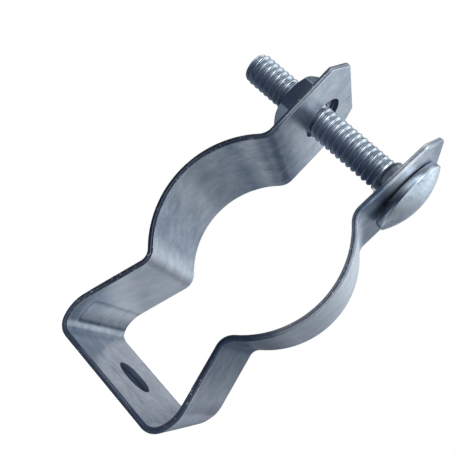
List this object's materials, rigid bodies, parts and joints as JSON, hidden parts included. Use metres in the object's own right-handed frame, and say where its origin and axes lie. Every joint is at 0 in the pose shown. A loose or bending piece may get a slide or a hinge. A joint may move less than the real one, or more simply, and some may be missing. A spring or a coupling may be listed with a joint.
{
  "type": "pipe clip",
  "caption": "Bent steel strap pipe clip with a flat base, a two-sided pipe saddle and a clamp bolt and nut through its ears.",
  "frame": {"origin": "centre of the base's mounting hole, on the underside of the base", "axes": "+Z from the base up to the ears, +X along the bolt from the nut to the head, +Y across the strap"},
  "size_m": [0.0439, 0.0264, 0.067],
  "materials": {
    "strap_zinc": "blue-white zinc plate on rolled strip, satin",
    "bolt_zinc": "zinc plate on forged steel, satin dome and bright thread",
    "nut_zinc": "zinc plate, satin"
  },
  "bodies": {
    "root": {"strap": "strap_zinc", "clamp_bolt": "bolt_zinc", "hex_nut": "nut_zinc"}
  },
  "joints": []
}
